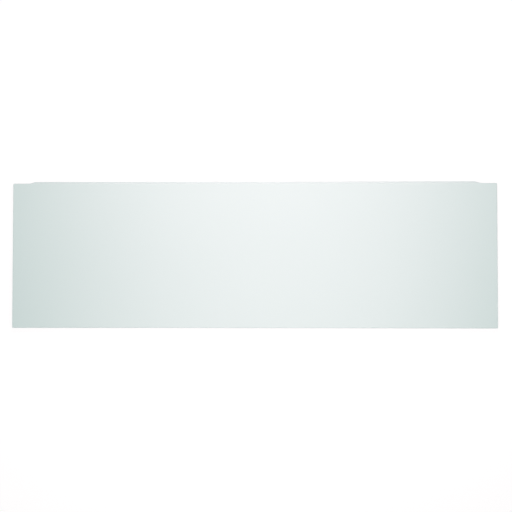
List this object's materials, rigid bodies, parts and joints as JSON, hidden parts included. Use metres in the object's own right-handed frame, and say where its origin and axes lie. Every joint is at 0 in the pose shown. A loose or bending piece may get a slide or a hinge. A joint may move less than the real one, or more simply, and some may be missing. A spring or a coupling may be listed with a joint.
{
  "type": "bath panel",
  "caption": "Long plain white front panel for a straight bath: a shallow formed tray of acrylic sheet, open at the back, with a low lip along its top edge.",
  "frame": {"origin": "middle of the whole outline, lip included, on the plane of the back rim", "axes": "+X along the panel, to the right seen from the front; +Y to the top edge with the lip; +Z out of the front face"},
  "size_m": [1.7, 0.517, 0.025],
  "materials": {
    "acrylic": "gloss"
  },
  "bodies": {
    "root": {"bath_panel": "acrylic"}
  },
  "joints": []
}
